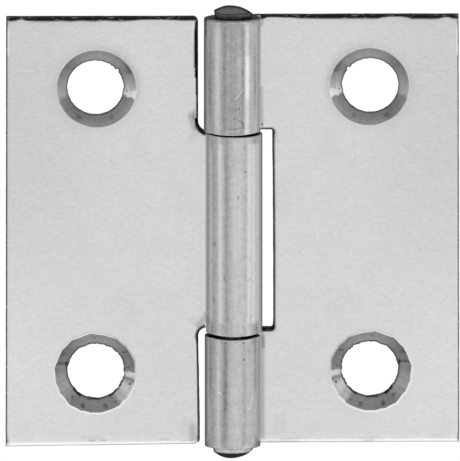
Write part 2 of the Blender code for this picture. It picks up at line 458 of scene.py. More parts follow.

# Marks on the front of the barrel, as places on the plan in millimetres: first the broad streaks of the
# upper, middle and lower knuckle, which are painted reflections, then scratches and specks
barrelMarks = [
    ((-1.42, 18.0), (-1.35, 9.6), 0.16, 0.36, 0.12),
    ((-0.74, 18.4), (-0.72, 9.4), 0.04, 0.28, -0.15),
    ((0.25, 18.4), (0.20, 9.2), 0.45, 0.35, -0.26),
    ((0.50, 18.4), (0.50, 9.4), 0.05, 0.30, 0.12),
    ((0.55, 15.6), (0.50, 13.0), 0.05, 0.30, 0.12),
    ((0.86, 18.2), (0.86, 9.4), 0.02, 0.15, -0.12),
    ((1.22, 18.4), (1.20, 9.2), 0.04, 0.26, 0.22),
    ((1.26, 15.6), (1.22, 12.2), 0.0, 0.42, 0.28),
    ((1.80, 18.4), (1.84, 9.2), 0.08, 0.26, 0.30),
    ((-1.98, 7.6), (-1.95, -7.6), 0.03, 0.20, 0.26),
    ((-2.40, 8.1), (-2.40, -8.2), 0.04, 0.11, 0.28),
    ((-1.62, 7.6), (-1.60, -7.6), 0.03, 0.20, 0.04),
    ((-1.05, 7.8), (-1.00, -7.6), 0.12, 0.28, 0.28),
    ((-0.60, 7.8), (-0.56, -7.6), 0.06, 0.22, -0.10),
    ((0.35, 5.0), (0.50, -7.4), 0.30, 0.50, 0.08),
    ((1.12, 8.0), (1.02, -7.6), 0.03, 0.20, -0.04),
    ((0.45, 7.8), (0.45, -7.6), 0.8, 0.6, 0.08),
    ((1.62, 7.8), (1.58, -7.6), 0.22, 0.30, 0.18),
    ((1.95, 7.8), (1.92, -7.6), 0.16, 0.24, 0.42),
    ((-2.10, -9.9), (-2.00, -18.4), 0.10, 0.40, -0.02),
    ((-0.70, -9.9), (-0.72, -15.4), 0.07, 0.20, -0.28),
    ((-0.72, -15.4), (-0.78, -18.4), 0.07, 0.24, -0.12),
    ((0.20, -9.9), (0.16, -18.0), 0.45, 0.30, 0.06),
    ((1.10, -9.9), (1.05, -18.4), 0.10, 0.35, -0.10),
    ((1.80, -9.9), (1.78, -18.4), 0.08, 0.24, 0.24),
    ((0.12, 12.06), (0.78, 12.84), 0.0, 0.06, 0.60),
    ((0.30, 11.90), (0.92, 12.60), 0.0, 0.05, -0.25),
    ((0.19, 11.1), (0.49, 11.32), 0.0, 0.06, -0.40),
    ((0.49, 11.32), (0.56, 10.6), 0.0, 0.06, -0.40),
    ((0.05, 10.36), (0.07, 10.34), 0.03, 0.07, -0.5),
    ((0.34, 10.3), (0.78, 10.0), 0.0, 0.06, -0.45),
    ((0.78, 10.0), (0.88, 9.48), 0.0, 0.07, -0.50),
    ((-0.46, 9.42), (0.49, 9.48), 0.0, 0.06, -0.35),
    ((-0.46, 9.25), (0.56, 9.2), 0.01, 0.06, 0.25),
    ((0.71, 15.0), (0.93, 12.7), 0.0, 0.05, -0.22),
    ((-2.27, 16.4), (-2.22, 12.7), 0.0, 0.07, -0.25),
    ((-2.42, 18.9), (-2.40, 17.6), 0.02, 0.12, -0.6),
    ((-0.50, 18.9), (1.0, 18.85), 0.04, 0.12, 0.25),
    ((1.02, 5.68), (1.03, 5.62), 0.04, 0.09, -0.5),
    ((0.38, 3.46), (0.42, 3.3), 0.04, 0.09, -0.45),
    ((-1.62, -0.65), (-1.70, -0.95), 0.04, 0.09, -0.35),
    ((-0.82, -3.65), (-0.78, -3.95), 0.05, 0.10, -0.4),
    ((1.25, -4.0), (1.50, -3.85), 0.03, 0.09, -0.3),
    ((-1.75, -5.65), (-1.68, -5.85), 0.05, 0.1, -0.35),
    ((1.50, -7.2), (1.42, -7.9), 0.02, 0.09, -0.25),
    ((-0.71, -9.52), (-0.71, -9.55), 0.05, 0.09, -0.5),
    ((0.87, -9.52), (0.88, -9.55), 0.04, 0.08, -0.5),
    ((0.89, -11.0), (0.89, -11.05), 0.05, 0.08, -0.5),
    ((-1.35, -13.9), (-1.02, -14.15), 0.01, 0.06, 0.45),
    ((1.65, -14.1), (1.5, -15.2), 0.01, 0.07, 0.25),
    ((1.5, -15.2), (1.25, -15.5), 0.01, 0.07, 0.22),
    ((1.35, -16.1), (1.42, -16.3), 0.02, 0.07, 0.22),
    ((-2.3, -15.55), (-0.75, -15.6), 0.0, 0.05, -0.2),
    ((-1.3, -12.1), (-1.25, -12.6), 0.0, 0.06, 0.3),
]

# Painted shade and painted highlights beside single edges, as places on the plan in millimetres: shade
# in the corners of the cut-outs and beside the knuckles, highlights along a few edges, and darker spots
# along the lower edges
placeMarks = [
    ((-3.66, 10.1), (-3.30, 9.15), 0.12, 0.42, -0.34),
    ((-3.40, 10.6), (-3.45, 9.9), 0.02, 0.20, -0.25),
    ((-2.35, -7.6), (-3.0, -8.6), 0.05, 0.45, -0.30),
    ((-3.55, -17.6), (-3.5, -18.6), 0.10, 0.45, -0.25),
    ((2.52, 9.3), (2.46, 12.5), 0.02, 0.26, -0.28),
    ((2.56, 9.3), (2.57, 9.36), 0.03, 0.10, -0.5),
    ((-3.24, 18.3), (-3.24, 13.6), 0.06, 0.16, -0.72),
    ((-3.36, 17.6), (-3.38, 14.4), 0.02, 0.16, -0.35),
    ((-3.22, 14.1), (-3.20, 12.0), 0.05, 0.08, -0.7),
    ((-3.22, 9.75), (-2.98, 9.1), 0.10, 0.12, -0.75),
    ((2.45, 12.5), (2.40, 18.4), 0.0, 0.20, -0.10),
    ((2.52, -9.6), (2.54, -18.4), 0.04, 0.40, -0.34),
    ((-2.55, 8.2), (-2.55, -8.4), 0.02, 0.20, 0.10),
    ((2.60, -9.2), (2.70, -10.4), 0.05, 0.22, -0.25),
    ((2.62, 18.8), (2.46, 18.1), 0.03, 0.2, -0.3),
    ((-3.02, 18.8), (-3.3, 18.2), 0.02, 0.25, 0.35),
    ((-3.47, 18.3), (-3.45, 16.4), 0.01, 0.10, 0.12),
    ((-13.3, -18.52), (-11.4, -18.58), 0.03, 0.22, -0.10),
    ((-12.8, -18.74), (-12.2, -18.80), 0.02, 0.10, -0.28),
    ((-11.7, -18.78), (-11.2, -18.74), 0.02, 0.10, -0.22),
    ((-6.4, -18.62), (-5.7, -18.72), 0.02, 0.14, -0.15),
    ((-4.6, -18.84), (-3.5, -18.72), 0.02, 0.10, -0.20),
    ((4.2, -18.70), (6.0, -18.56), 0.02, 0.14, -0.15),
    ((3.0, -18.86), (5.8, -18.84), 0.02, 0.10, -0.22),
    ((11.2, -18.58), (12.9, -18.52), 0.04, 0.22, -0.10),
    ((11.5, -18.80), (12.4, -18.76), 0.02, 0.10, -0.25),
    ((17.5, -18.4), (18.8, -18.5), 0.04, 0.3, -0.05),
    ((-19.72, 18.6), (-19.72, 15.5), 0.01, 0.10, 0.30),
    ((19.68, 18.6), (19.70, 15.5), 0.01, 0.10, 0.30),
]

# Small pits and stains on the flat of a leaf, as places on its blank from the pin's axis
leafMarks = [
    ((17.55, 2.45), (17.55, 2.47), 0.03, 0.09, -0.10),
    ((16.5, -1.75), (16.45, -1.8), 0.03, 0.09, -0.12),
    ((17.7, -0.85), (17.7, -0.8), 0.03, 0.09, -0.08),
    ((15.9, -16.95), (15.9, -17.0), 0.04, 0.10, -0.12),
    ((17.6, -10.2), (17.65, -10.25), 0.03, 0.08, -0.10),
    ((18.9, -5.9), (18.2, -6.6), 0.03, 0.10, -0.06),
    ((10.7, 6.3), (10.4, 5.9), 0.04, 0.12, -0.07),
    ((5.9, -1.9), (5.8, -2.3), 0.03, 0.09, -0.07),
    ((11.4, 8.3), (10.9, 7.7), 0.7, 1.2, 0.012),
    ((8.3, 8.1), (8.1, 7.1), 0.35, 0.9, -0.025),
    ((4.7, 4.5), (4.2, 1.8), 0.35, 0.9, -0.02),
    ((6.3, -3.3), (6.1, -4.2), 0.5, 0.9, 0.02),
    ((9.9, -6.2), (8.7, -7.4), 0.25, 0.8, -0.025),
    ((18.8, -17.2), (18.0, -17.9), 0.25, 0.7, -0.03),
    ((4.1, -17.0), (3.9, -18.0), 0.25, 0.5, -0.05),
    ((3.6, 8.2), (3.3, 8.9), 0.15, 0.45, -0.10),
    ((3.5, -7.9), (3.2, -8.2), 0.10, 0.35, -0.08),
]


def leafSurface(tree, place, grains, group):
    x, y, _ = splitPlace(tree, place)
    tone = 1.0
    for name in ("cloud", "mottle", "fibre"):
        tone = addGrain(tree, tone, grains[name], plateFinish[name])
    tone = calc(tree, "ADD", tone, drawMarks(tree, flatPlace(tree, place), leafMarks, group))
    # Painted shade on the outer part of the leaf's upper half, and painted light there in its lower half
    outer = remap(tree, x, *plateFinish["fadeAcross"], 0.0, plateFinish["outerFade"])
    upwards = remap(tree, y, *plateFinish["fadeAlong"], *plateFinish["fadeShares"])
    tone = calc(tree, "MULTIPLY_ADD", outer, upwards, tone)
    return calc(tree, "MULTIPLY", tone, plateFinish["leafGrey"])


# The knuckles get painted shade on both flanks, below the height at which they turn away from the front
def barrelSurface(tree, place, plan, marks, grains):
    tone = 1.0
    for name, amount in (("streaks", "streak"), ("thinStreaks", "streak"), ("speckle", "speckle")):
        tone = addGrain(tree, tone, grains[name], plateFinish[amount])
    tone = calc(tree, "ADD", tone, marks)
    x, _, z = splitPlace(tree, plan)
    run = splitPlace(tree, place)["X"]
    middle = plateFinish["flankMiddle"]
    freeFlankShade = remap(tree, x, -middle, middle, plateFinish["flankLeft"], plateFinish["flankRight"])
    crown = knuckleCrown / mm
    crownBlend = plateFinish["crownBlend"]
    side = remap(tree, run, crown + crownBlend, crown - crownBlend, plateFinish["bendGrey"], freeFlankShade)
    low = axisHeight + plateFinish["flankBottom"]
    high = axisHeight + plateFinish["flankTop"]
    grey = calc(tree, "MULTIPLY", tone, plateFinish["barrelGrey"])
    return calc(tree, "MULTIPLY", grey, remap(tree, z, low, high, side, 1.0))


def plateMaterial():
    material, tree, shader = newMaterial("zinc_plated_sheet_front")
    group = markTool()
    place = attribute(tree, "sheetPlace", "Vector")
    plan = addNode(tree, "ShaderNodeTexCoord").outputs["Object"]
    flatPlan = flatPlace(tree, plan, 1 / mm)
    grains = makeGrains(tree, place, plateGrains)
    run = splitPlace(tree, place)["X"]
    rolled = remap(tree, run, bendStart / mm, bendStart / mm - plateFinish["rollBlend"], 0.0, 1.0)
    leafGrey = leafSurface(tree, place, grains, group)
    # The painted reflections along the knuckles, with scratches and specks
    streakMarks = drawMarks(tree, flatPlan, barrelMarks, group)
    barrelGrey = barrelSurface(tree, place, plan, streakMarks, grains)
    grey = blend(tree, rolled, leafGrey, barrelGrey)
    # Painted highlights and painted shade round the holes, and a painted highlight on the lower edges
    grey = calc(tree, "MULTIPLY_ADD", attribute(tree, "holeBurr"), plateFinish["burrShine"], grey)
    # Painted shade and painted highlights beside edges; the highlights also take away the edges' painted
    # shade
    placed = drawMarks(tree, flatPlan, placeMarks, group)
    grey = calc(tree, "MULTIPLY", grey, calc(tree, "ADD", placed, 1.0))
    wearAndHighlight = calc(tree, "MAXIMUM", placed, 0.0)
    edgeShadeShare = calc(tree, "SUBTRACT", attribute(tree, "edgeSoil"), wearAndHighlight)
    # The edges' painted shade, torn by a texture, darkens the grey and dulls the roughness
    torn = remap(tree, grains["tears"], *plateFinish["tears"], 1.0, plateFinish["tornSoil"])
    edgeShadeMix = calc(tree, "MULTIPLY", calc(tree, "MAXIMUM", edgeShadeShare, 0.0), torn)
    grey = blend(tree, edgeShadeMix, grey, plateFinish["soilGrey"])
    plug(tree, shader.inputs["Base Color"], greyColour(tree, grey))
    roughness = blend(
        tree, rolled,
        remap(tree, grains["mottle"], 0.3, 0.7, *plateFinish["leafRoughness"]),
        remap(tree, grains["speckle"], 0.3, 0.7, *plateFinish["barrelRoughness"]),
    )
    plug(tree, shader.inputs["Roughness"], blend(tree, edgeShadeShare, roughness, plateFinish["soilRoughness"]))
    relief = blend(tree, rolled, grains["mottle"], grains["speckle"])
    plug(tree, shader.inputs["Normal"], bump(tree, relief, plateFinish["relief"]))
    return material


# The walls that the shears leave, dark and torn through their thickness
shearedFinish = {
    "tears": ((6.0, 6.0, 1.2), 3.0, 0.6, 5.0),
    "greys": (0.03, 0.2),
    "roughness": (0.5, 0.32),
    "relief": 0.02 * mm,
}


def shearedMaterial():
    material, tree, shader = newMaterial("sheared_steel_edge")
    tears = grain(tree, attribute(tree, "sheetPlace", "Vector"), *shearedFinish["tears"])
    grey = remap(tree, tears, 0.35, 0.75, *shearedFinish["greys"])
    plug(tree, shader.inputs["Base Color"], greyColour(tree, grey))
    plug(tree, shader.inputs["Roughness"], remap(tree, tears, 0.3, 0.7, *shearedFinish["roughness"]))
    plug(tree, shader.inputs["Normal"], bump(tree, tears, shearedFinish["relief"]))
    return material


# The countersinks: turned steel whose grey, painted highlights and painted shade, changes round the
# hole, as (degrees, grey) from the side that faces the barrel and on towards the upper end
countersinkFinish = {
    "roughness": 0.62,
    "scuffMetal": 0.15,           # the brightest painted highlights turn a dull white
    "scuffGreys": (0.72, 0.95),
    "upper": [(-180, 0.66), (-168, 0.69), (-158, 0.44), (-125, 0.43), (-105, 0.53), (-35, 0.53),
              (-15.5, 0.42), (-12.5, 1.0), (-6, 1.0), (0, 0.74), (14, 0.52), (28, 0.32), (45, 0.42),
              (80, 0.51), (110, 0.48), (140, 0.34), (155, 0.46), (180, 0.66)],
    "lower": [(-180, 0.50), (-160, 0.70), (-145, 0.69), (-130, 0.48), (-90, 0.59), (-56, 0.57),
              (-46, 0.85), (-20, 0.97), (-11, 0.43), (-6, 1.0), (-1, 1.0), (3, 0.42), (28, 0.34),
              (70, 0.48), (110, 0.46), (140, 0.30), (160, 0.35), (180, 0.50)],
    "unevenAngle": 8.0,           # degrees by which the changes of grey waver
    "mottle": 0.14,
    "grooves": 0.07,
    "innerLine": (0.05, 0.27),    # of the cone's height, where the painted shade at the bore fades out
    "innerLower": 0.16,           # share of the grey that is left there on the lower and the upper holes
    "innerUpper": 0.33,
    "outerBand": (0.45, 0.95),    # and where the painted band of light and shade at the rim sets in
    "outerUpper": (1.28, 0.84),   # its shares of grey, low and high round the hole; above 1 is painted light, below 1 painted shade
    "outerLower": (1.0, 0.84),
    "bandTurn": 1.2,              # millimetres below and above the hole's middle where they are full
    "relief": 0.01 * mm,
}

# Its textures, as (scale, detail, roughness, offset)
countersinkGrains = {
    "uneven": ((2.5, 2.5, 2.5), 2.0, 0.5, 21.0),
    "mottle": ((3.0, 3.0, 3.0), 3.0, 0.65, 9.0),
    "grooves": ((0.6, 0.6, 9.0), 2.0, 0.5, 15.0),
}

# Pits on the cones, as places on the blank's plan in millimetres
coneMarks = [
    ((13.64, 10.09), (13.5, 10.02), 0.06, 0.26, -0.32),
    ((10.70, 10.05), (10.6, 10.10), 0.05, 0.20, -0.28),
    ((9.35, 14.55), (9.05, 14.05), 0.05, 0.18, -0.32),
    ((9.80, 14.90), (9.45, 14.75), 0.02, 0.16, -0.15),
    ((10.54, 10.83), (10.60, 10.79), 0.05, 0.08, -0.85),
    ((9.35, 12.35), (9.3, 12.4), 0.03, 0.10, -0.40),
    ((8.95, 12.55), (8.9, 12.5), 0.02, 0.08, -0.30),
    ((15.20, 12.25), (14.9, 12.35), 0.03, 0.12, 0.10),
    ((13.22, -15.50), (13.22, -15.55), 0.10, 0.13, -0.55),
    ((11.25, -15.55), (11.20, -15.60), 0.12, 0.18, -0.35),
    ((10.35, -15.20), (10.35, -15.22), 0.05, 0.10, -0.50),
    ((14.15, -14.76), (14.12, -14.78), 0.04, 0.12, -0.45),
    ((9.06, -13.60), (9.08, -13.62), 0.05, 0.10, -0.75),
    ((9.18, -12.20), (9.20, -12.22), 0.04, 0.10, -0.40),
    ((9.70, -10.85), (9.35, -10.74), 0.03, 0.11, -0.40),
    ((12.19, -9.49), (12.25, -9.50), 0.05, 0.13, -0.30),
    ((15.35, -10.80), (14.80, -10.95), 0.06, 0.20, -0.32),
    ((15.55, -11.75), (14.75, -11.85), 0.05, 0.14, -0.45),
    ((14.62, -12.10), (14.66, -11.75), 0.04, 0.12, -0.60),
    ((13.98, -14.15), (13.46, -14.68), 0.05, 0.13, -0.85),
    ((10.32, -14.28), (10.84, -14.74), 0.03, 0.14, -0.70),
    ((12.75, -15.02), (11.80, -15.02), 0.0, 0.14, -0.60),
    ((9.70, -13.30), (9.95, -13.85), 0.02, 0.14, -0.50),
    ((10.20, -10.85), (11.20, -10.20), 0.02, 0.12, -0.40),
    ((12.60, -10.10), (12.05, -10.08), 0.02, 0.10, -0.50),
]


def countersinkMaterial():
    material, tree, shader = newMaterial("machined_countersink")
    finish = countersinkFinish
    place = attribute(tree, "sheetPlace", "Vector")
    grains = makeGrains(tree, place, countersinkGrains)
    x, y, z = splitPlace(tree, place)
    upper = calc(tree, "GREATER_THAN", y, 0.0)
    toBarrel = calc(tree, "SUBTRACT", screwHole["fromAxis"] / mm, x)
    holePlace = screwHole["spacing"] / 2 / mm
    upwards = calc(tree, "SUBTRACT", y, blend(tree, upper, -holePlace, holePlace))
    angle = calc(tree, "MULTIPLY", calc(tree, "ARCTAN2", upwards, toBarrel), 180 / math.pi)
    angle = addGrain(tree, angle, grains["uneven"], finish["unevenAngle"])
    # The grey round the hole is painted highlights and painted shade
    tones = [greyRamp(tree, angle, -180, 180, finish[hole], "LINEAR") for hole in ("lower", "upper")]
    tone = blend(tree, upper, *tones)
    for name, low, high in (("mottle", 0.25, 0.75), ("grooves", 0.3, 0.7)):
        span = finish[name]
        varied = remap(tree, grains[name], low, high, 1 - span, 1 + span, "LINEAR")
        tone = calc(tree, "MULTIPLY", tone, varied)
    share = calc(tree, "DIVIDE", z, sheet["thickness"] / mm)
    innerGrey = blend(tree, upper, finish["innerLower"], finish["innerUpper"])
    paintedBoreShade = remap(tree, share, *finish["innerLine"], innerGrey, 1.0)
    turn = finish["bandTurn"]
    bands = [remap(tree, upwards, -turn, turn, *finish[hole]) for hole in ("outerLower", "outerUpper")]
    paintedRimBand = remap(tree, share, *finish["outerBand"], 1.0, blend(tree, upper, *bands))
    pits = drawMarks(tree, flatPlace(tree, place), coneMarks, bpy.data.node_groups["steel_mark"])
    for factor in (paintedBoreShade, paintedRimBand, calc(tree, "ADD", pits, 1.0)):
        tone = calc(tree, "MULTIPLY", tone, factor)
    plug(tree, shader.inputs["Base Color"], greyColour(tree, tone))
    # The brightest painted highlights turn a dull white
    metal = remap(tree, tone, *finish["scuffGreys"], 1.0, finish["scuffMetal"])
    plug(tree, shader.inputs["Metallic"], metal)
    shader.inputs["Roughness"].default_value = finish["roughness"]
    plug(tree, shader.inputs["Normal"], bump(tree, grains["mottle"], finish["relief"]))
    return material


def finishPiece(name, bm, materials, sharpAngle=40):
    mesh = bpy.data.meshes.new(name)
    bm.to_mesh(mesh)
    bm.free()
    for material in materials:
        mesh.materials.append(material)
    mesh.shade_smooth()
    mesh.set_sharp_from_angle(angle=math.radians(sharpAngle))
    piece = bpy.data.objects.new(name, mesh)
    bpy.context.scene.collection.objects.link(piece)
    return piece


# Leaves

# Where a point of the blank ends up: its run is counted from the start of the bend towards the tongue's
# tip, and its lift from the middle of the sheet towards the front
def rolledPlace(run, lift):
    thickness = sheet["thickness"]
    if run <= 0:
        return bendStart - run, thickness / 2 + lift
    if run <= bendRun:
        turn = run / bendMiddle
        radius = bendMiddle - lift
        height = thickness + sheet["bendRadius"] - radius * math.cos(turn)
        return bendStart - radius * math.sin(turn), height
    turn = (run - bendRun) / curlMiddle - curlDip
    radius = curlMiddle + lift
    return radius * math.cos(turn) - sheet["curlLean"], axisHeight + radius * math.sin(turn)


def rollStations():
    bendSteps = math.ceil(bendTurn / sheet["bendStep"])
    curlSteps = math.ceil(curlTurn / sheet["curlStep"])
    stations = [bendRun * i / bendSteps for i in range(bendSteps)]
    return stations + [bendRun + curlMiddle * curlTurn * i / curlSteps for i in range(curlSteps)]


# Outlines of the blanks, as (across, along, fillet radius)
def rightOutline():
    bottom, top = rightEnds
    stepped = cutOuts["lowerKnuckleStart"] + cutOuts["rightStep"]
    return [
        (leafReach, bottom, 0),
        (leafReach, top, 0),
        (tongueTip, top, 0),
        (tongueTip, cutOuts["upperKnuckleEnd"], 0),
        (rightInner, cutOuts["upperKnuckleEnd"], cutOuts["rightFillet"]),
        (rightInner, stepped, cutOuts["rightFillet"]),
        (bendStart, stepped, 0),
        (bendStart - bendRun, cutOuts["lowerKnuckleStart"], 0),
        (tongueTip, cutOuts["lowerKnuckleStart"], 0),
        (tongueTip, bottom, 0),
    ]


def leftOutline():
    bottom, top = leftEnds
    stepped = cutOuts["middleBottom"] + cutOuts["leftStep"]
    filletStart = leftInner - cutOuts["leftFilletRun"] * cutOuts["leftLowerFillet"]
    return [
        (leafReach, bottom, 0),
        (leafReach, top, 0),
        (leftInner, top, cutOuts["leftCorner"]),
        (leftInner, cutOuts["middleTop"], cutOuts["leftUpperFillet"]),
        (tongueTip, cutOuts["middleTop"], 0),
        (tongueTip, cutOuts["middleBottom"], 0),
        (bendStart - bendRun, cutOuts["middleBottom"], 0),
        (filletStart, stepped, 0),
        (leftInner, stepped, cutOuts["leftLowerFillet"]),
        (leftInner, bottom, cutOuts["leftCorner"]),
    ]


# The blank is cut flat, and its front edge goes round in an elliptical pressed edge
def pressBlank(outline):
    bm = bmesh.new()
    corners = [bm.verts.new((x, y, 0)) for x, y, _ in outline]
    back = bm.faces.new(corners)
    back.normal_update()
    if back.normal.z < 0:
        back.normal_flip()
    for corner, (_, _, radius) in zip(corners, outline):
        if radius > 0:
            bmesh.ops.bevel(
                bm, geom=[corner], offset=radius, offset_type="OFFSET",
                segments=cutOuts["filletSegments"], profile=0.5, affect="VERTICES", material=-1,
            )
    raised = bmesh.ops.extrude_face_region(bm, geom=bm.faces[:], use_keep_orig=True)
    topVerts = [item for item in raised["geom"] if isinstance(item, bmesh.types.BMVert)]
    wallHeight = sheet["thickness"] - pressedEdge["depth"]
    bmesh.ops.translate(bm, verts=topVerts, vec=(0, 0, wallHeight))
    bmesh.ops.recalc_face_normals(bm, faces=bm.faces)
    crown = next(face for face in bm.faces if face.normal.z > 0.9)
    for face in bm.faces:
        face.material_index = 1
    crown.material_index = 0
    steps = pressedEdge["steps"]
    for i in range(steps):
        before = math.pi / 2 * i / steps
        after = math.pi / 2 * (i + 1) / steps
        bmesh.ops.inset_region(
            bm, faces=[crown], use_boundary=True, use_even_offset=True,
            thickness=pressedEdge["width"] * (math.cos(before) - math.cos(after)),
            depth=pressedEdge["depth"] * (math.sin(after) - math.sin(before)),
        )
    for face in bm.faces:
        if face.normal.z < -0.9:
            face.material_index = 0
    return bm


def gridCut(bm, direction, places):
    for place in places:
        bmesh.ops.bisect_plane(
            bm, geom=bm.verts[:] + bm.edges[:] + bm.faces[:], dist=cutTolerance,
            plane_co=direction * place, plane_no=direction,
        )


# Even steps between the given places, and the places themselves apart from the first and the last
def steppedPlaces(places, step):
    stepped = []
    for first, last in zip(places, places[1:]):
        count = max(1, round((last - first) / step))
        stepped += [first + (last - first) * i / count for i in range(1, count + 1)]
    return stepped[:-1]


# Rings of a hole from the flat of the sheet inwards and down, as (radius, height, brightness of the
# painted highlight)
def holeRings(drill):
    top = sheet["thickness"]
    rim = screwHole["rim"] / 2
    bore = screwHole["bore"] / 2
    width = screwHole["burrWidth"]
    rings = [(rim + distance, top, 0) for distance in screwHole["flatRings"]]
    for distance, raised, bright in screwHole["burrRings"]:
        rings.append((rim + distance * width, top + raised * drill["burr"], bright))
    for i in range(1, screwHole["coneRings"] + 1):
        share = i / screwHole["coneRings"]
        rings.append((mix(rim, bore, share), mix(top, screwHole["lip"], share), 0))
    return rings + [(bore, 0, 0)]


def roundNoise(angle, seed, waves):
    return noise.noise(Vector((math.cos(angle), math.sin(angle), seed)) * waves)


# How far out a ring runs at an angle, with the drill's flats, ragged edge, nick and chips. "cone" is 0
# at the bore and 1 at the rim, and "near" is 0 where the rings are true circles.
def ringReach(drill, radius, angle, cone, near, turned):
    wobble = screwHole["wobble"] * roundNoise(angle, drill["seed"], screwHole["wobbleWaves"])
    turn = (angle + wobble) * drill["flats"] / (2 * math.pi) + drill["seed"]
    flat = 1 / math.cos(2 * math.pi / drill["flats"] * (turn - math.floor(turn) - 0.5)) - 1
    flat *= drill["flatDepth"] * mix(drill["boreFlats"], 1, cone) * near
    ragged = drill["ragged"] * roundNoise(angle, drill["seed"] + 3, screwHole["raggedWaves"]) * near
    nick = drill["nick"] * math.exp(-((angle - drill["nickAngle"]) / screwHole["nickWidth"]) ** 2)
    chip = drill["chips"] * roundNoise(angle, drill["seed"], screwHole["chipWaves"])
    chip *= mix(screwHole["chipLeast"], 1, turned)
    return radius * (1 + flat) + ragged + (nick + chip) * (1 - cone)


# A countersunk hole: a square patch is taken out of both faces, its edge on the front is drawn in to a
# circle and sunk ring by ring through the sheet, and the last ring goes out again to the back's square.
# The drill chatters, so its circle has flats, and the bore lies a little beside the countersink.
def sinkHole(bm, centre, drill):
    half = screwHole["square"] / 2
    rim = screwHole["rim"] / 2
    bore = screwHole["bore"] / 2

    def inPatch(vert):
        return max(abs(vert.co.x - centre.x), abs(vert.co.y - centre.y)) < half + mergeDistance

    patch = [face for face in bm.faces if all(inPatch(vert) for vert in face.verts)]
    bmesh.ops.delete(bm, geom=patch, context="FACES")
    openEdges = [edge for edge in bm.edges if edge.is_boundary]
    bmesh.ops.subdivide_edges(bm, edges=openEdges, cuts=2)
    middle = sheet["thickness"] / 2
    ringEdges = [edge for edge in bm.edges if edge.is_boundary and edge.verts[0].co.z > middle]
    angleLayer = bm.verts.layers.float.get("holeAngle") or bm.verts.layers.float.new("holeAngle")
    shineLayer = bm.verts.layers.float["holeBurr"]
    for vert in {vert for edge in ringEdges for vert in edge.verts}:
        vert[angleLayer] = math.atan2(vert.co.y - centre.y, vert.co.x - centre.x)
    for radius, height, bright in holeRings(drill):
        made = bmesh.ops.extrude_edge_only(bm, edges=ringEdges)["geom"]
        ring = {item for item in made if isinstance(item, bmesh.types.BMVert)}
        edges = [item for item in made if isinstance(item, bmesh.types.BMEdge)]
        ringEdges = [edge for edge in edges if ring.issuperset(edge.verts)]
        near = limit((rim + screwHole["trueFrom"] - radius) / screwHole["trueBlend"])
        cone = limit((radius - bore) / (rim - bore))
        shift = Vector(drill["boreShift"]).lerp(Vector(drill["rimShift"]), cone) * near
        oval = Vector(drill["boreOval"]).lerp(Vector(drill["rimOval"]), cone)
        oval = Vector((1, 1)).lerp(oval, near)
        rimShaded = ease((rim + screwHole["smearFrom"] - radius) / screwHole["smearBlend"])
        for vert in ring:
            angle = vert[angleLayer]
            turned = max(0, math.cos(angle - drill["smearAngle"]))
            reach = ringReach(drill, radius, angle, cone, near, turned)
            outward = Vector((math.cos(angle) * oval.x, math.sin(angle) * oval.y))
            vert.co.xy = centre.xy + outward * reach + shift
            vert.co.z = height
            # The burr's painted highlight, changed towards the shaded side, and painted shade on the
            # flat round the rim
            shine = bright * (drill["halo"] + drill["haloTurn"] * turned ** 4)
            if radius >= rim:
                shine += drill["smear"] * rimShaded * mix(screwHole["smearLeast"], 1, turned ** 2)
            vert[shineLayer] = shine
        if radius <= rim:
            for face in {face for vert in ring for face in vert.link_faces}:
                face.material_index = 2
    made = bmesh.ops.extrude_edge_only(bm, edges=ringEdges)["geom"]
    for vert in [item for item in made if isinstance(item, bmesh.types.BMVert)]:
        outward = Vector((math.cos(vert[angleLayer]), math.sin(vert[angleLayer])))
        vert.co.xy = centre.xy + outward * half / max(abs(outward.x), abs(outward.y))
        vert[shineLayer] = 0
        for face in vert.link_faces:
            face.material_index = 0
    bmesh.ops.remove_doubles(bm, verts=bm.verts, dist=mergeDistance)


def rollUp(bm, side, middle):
    placeLayer = bm.verts.layers.float_vector.new("sheetPlace")
    for vert in bm.verts:
        vert[placeLayer] = (vert.co - Vector((0, middle, 0))) / mm
        run = bendStart - vert.co.x
        x, z = rolledPlace(run, vert.co.z - sheet["thickness"] / 2)
        knuckle = "middle" if side < 0 else "upper" if vert.co.y > 0 else "lower"
        x += knuckleShift[knuckle] * ease((run - bendRun) / (curlMiddle * math.pi / 2))
        vert.co.x = side * x
        vert.co.z = z
    if side < 0:
        bmesh.ops.reverse_faces(bm, faces=bm.faces)


# Brings the rounding along one straight edge of the blank to its own share of the common size
def resizeEdge(bm, axis, place, shareAt):
    top = sheet["thickness"]
    width = pressedEdge["width"] + cutTolerance
    depth = pressedEdge["depth"] + cutTolerance
    for vert in bm.verts:
        inward = vert.co[axis] - place
        if abs(inward) < width and vert.co.z > top - depth:
            share = shareAt(vert.co)
            vert.co[axis] = place + inward * share
            vert.co.z = top - (top - vert.co.z) * share


# The next four each make a function that gives the share of the rounding at a place on an edge
def outerEdgeShare(ends):
    def shareAt(place):
        inFromEnd = min(ends[1] - place.y, place.y - ends[0])
        inside = ease((inFromEnd - leafReach + place.x) / pressedEdge["outerBlend"])
        return mix(1, pressedEdge["outerShare"], inside)
    return shareAt


def upperEdgeShare(side):
    def shareAt(place):
        across = side * place.x / mm
        for (first, low), (last, high) in zip(upperEdgeShares, upperEdgeShares[1:]):
            if across <= last:
                break
        share = mix(low, high, ease((across - first) / (last - first)))
        return mix(1, share, ease((leafReach - place.x) / pressedEdge["outerBlend"]))
    return shareAt


def knuckleEdgeShare(name):
    def shareAt(place):
        fromRoot = bendStart - pressedEdge["knuckleRoot"] - place.x
        fromTip = place.x - tongueTip - pressedEdge["width"]
        inside = ease(min(fromRoot, fromTip) / pressedEdge["knuckleBlend"])
        return mix(1, pressedEdge[name], inside)
    return shareAt


def innerEdgeShare(low, high, shareOfPlace):
    def shareAt(place):
        inside = ease(min(place.y - low, high - place.y) / pressedEdge["innerBlend"])
        return mix(1, shareOfPlace(place), inside)
    return shareAt


